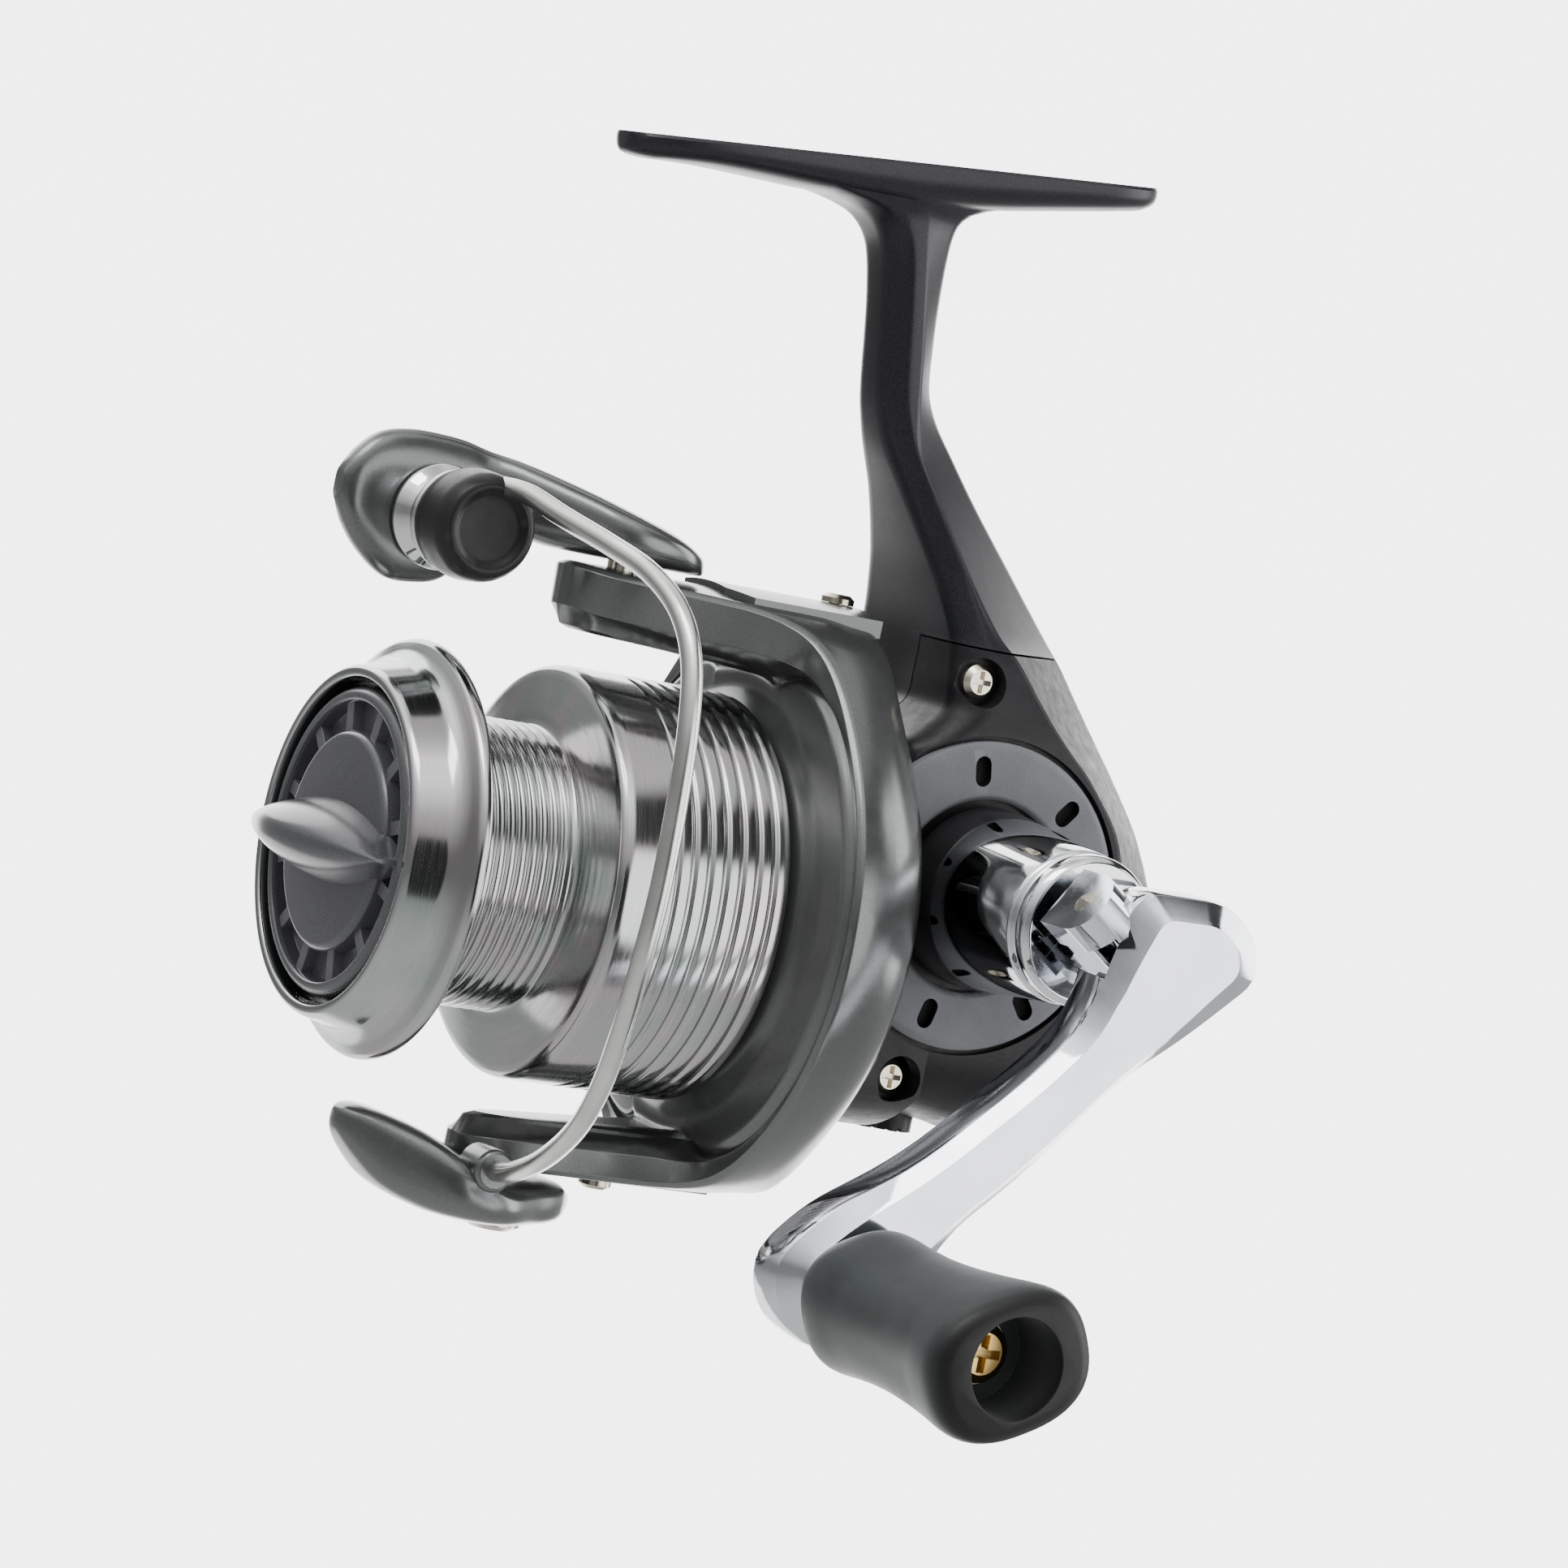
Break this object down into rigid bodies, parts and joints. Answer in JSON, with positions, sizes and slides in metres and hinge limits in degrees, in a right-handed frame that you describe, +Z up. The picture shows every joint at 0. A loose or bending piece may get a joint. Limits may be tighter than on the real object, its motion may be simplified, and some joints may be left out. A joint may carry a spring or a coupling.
{
  "type": "spinning reel",
  "caption": "Fixed-spool fishing reel with rod foot, gearbox, rotor with swinging bail and line roller, sliding spool with drag knob, and folding crank with a turning knob.",
  "frame": {"origin": "centre of the rod foot's flat seat", "axes": "+X along the spool axis towards the front of the spool, +Y along the crank axis towards the handle side, +Z up towards the rod; the seat's normal leans 6 degrees forward of +Z"},
  "size_m": [0.1055, 0.1094, 0.1254],
  "materials": {
    "body_paint": "satin charcoal metallic paint over glass-filled plastic",
    "cover_black": "near-black satin moulded plastic",
    "cap_grey": "mid-grey fine-textured moulded plastic",
    "screw_nickel": "warm nickel-plated steel",
    "bearing_steel": "bright machined steel",
    "retainer_brass": "machined brass",
    "gear_metal": "die-cast zinc-aluminium alloy, machined teeth",
    "gear_nylon": "off-white acetal",
    "handle_chrome": "bright chrome plating over alloy",
    "crank_chrome": "bright chrome plating with a satin lilac-grey outer face",
    "rotor_graphite": "graphite-grey metallic paint over moulded plastic",
    "trim_graphite": "darker graphite-grey metallic paint",
    "spring_steel": "music-wire spring steel",
    "wire_nickel": "satin nickel-plated steel wire",
    "guide_black": "black moulded plastic",
    "roller_chrome": "polished chrome",
    "spool_chrome": "anodised, turned and polished aluminium in titanium grey",
    "drag_felt": "oiled felt and steel washers",
    "drag_grey": "glossy grey moulded plastic",
    "knob_rubber": "dark grey-green soft-touch rubber"
  },
  "bodies": {
    "frame": {"body_housing": "body_paint", "side_cover": "cover_black", "drive_cap": "cap_grey", "cover_screws": "screw_nickel", "left_cap": "cover_black", "front_bearing": "bearing_steel", "roller_clutch": "bearing_steel", "bearing_retainer": "retainer_brass", "drive_bearing_right": "bearing_steel", "drive_bearing_left": "bearing_steel", "slider_rod": "bearing_steel"},
    "anti_reverse": {"anti_reverse_lever": "cover_black", "lever_screw": "bearing_steel"},
    "drive": {"drive_gear": "gear_metal", "handle_barrel": "handle_chrome", "fold_pin": "screw_nickel"},
    "oscillation": {"oscillation_gear": "gear_nylon"},
    "rotor": {"pinion": "retainer_brass", "clutch_sleeve": "bearing_steel", "rotor": "rotor_graphite", "rotor_nut": "bearing_steel", "arm_cover_top": "trim_graphite", "arm_cover_bottom": "trim_graphite", "arm_cover_screws": "screw_nickel", "bail_spring": "spring_steel", "bail_pivot_screws": "screw_nickel"},
    "bail": {"bail_arm": "rotor_graphite", "bail_wire": "wire_nickel", "bail_holder": "rotor_graphite", "roller_screw": "guide_black", "roller_bush": "screw_nickel"},
    "line_roller": {"line_roller": "roller_chrome"},
    "shaft": {"main_shaft": "bearing_steel", "slider_block": "gear_metal", "slider_clip": "bearing_steel", "spool_support": "bearing_steel"},
    "spool": {"spool": "spool_chrome", "line_clip": "guide_black", "click_spring": "spring_steel", "drag_washers": "drag_felt", "drag_ring": "spring_steel"},
    "drag_knob": {"drag_knob": "drag_grey", "drag_spring": "spring_steel", "drag_nut": "retainer_brass"},
    "crank": {"crank_arm": "crank_chrome", "knob_shaft": "bearing_steel", "knob_bush": "gear_nylon", "knob_screw": "retainer_brass"},
    "handle_knob": {"handle_knob": "knob_rubber"}
  },
  "joints": [
    {"name": "handle_turn", "type": "hinge", "parent": "frame", "child": "drive", "pos_m": [-0.0196, 0, -0.0748], "axis": [0, 1, 0], "continuous": true},
    {"name": "oscillation_turn", "type": "hinge", "parent": "frame", "child": "oscillation", "pos_m": [-0.0321, 0.0075, -0.0834], "axis": [0, 1, 0], "continuous": true},
    {"name": "rotor_turn", "type": "hinge", "parent": "frame", "child": "rotor", "pos_m": [0.0004, 0, -0.0808], "axis": [1, 0, 0], "continuous": true},
    {"name": "bail_swing", "type": "hinge", "parent": "rotor", "child": "bail", "pos_m": [0.0224, 0, -0.0808], "axis": [0, 0, 1], "range_deg": [-115, 0]},
    {"name": "line_roller_spin", "type": "hinge", "parent": "bail", "child": "line_roller", "pos_m": [0.0429, 0, -0.0462], "axis": [0, 1, 0], "continuous": true},
    {"name": "shaft_slide", "type": "slide", "parent": "frame", "child": "shaft", "axis": [1, 0, 0], "range_m": [0, 0.011]},
    {"name": "spool_spin", "type": "hinge", "parent": "shaft", "child": "spool", "pos_m": [0.0304, 0, -0.0808], "axis": [1, 0, 0], "continuous": true},
    {"name": "drag_turn", "type": "hinge", "parent": "shaft", "child": "drag_knob", "pos_m": [0.0464, 0, -0.0808], "axis": [1, 0, 0], "range_deg": [-540, 180]},
    {"name": "crank_fold", "type": "hinge", "parent": "drive", "child": "crank", "pos_m": [-0.0196, 0.0436, -0.0748], "axis": [0.8327, 0, 0.5537], "range_deg": [-25, 0]},
    {"name": "knob_spin", "type": "hinge", "parent": "crank", "child": "handle_knob", "pos_m": [0.006, 0.064, -0.1133], "axis": [0, 1, 0], "continuous": true},
    {"name": "anti_reverse_turn", "type": "hinge", "parent": "frame", "child": "anti_reverse", "pos_m": [-0.0226, 0, -0.0988], "axis": [0, 0, 1], "range_deg": [0, 35]}
  ],
  "couplings": [
    {"joint": "rotor_turn", "follows": "handle_turn", "ratio": 5},
    {"joint": "oscillation_turn", "follows": "handle_turn", "ratio": -0.5}
  ]
}
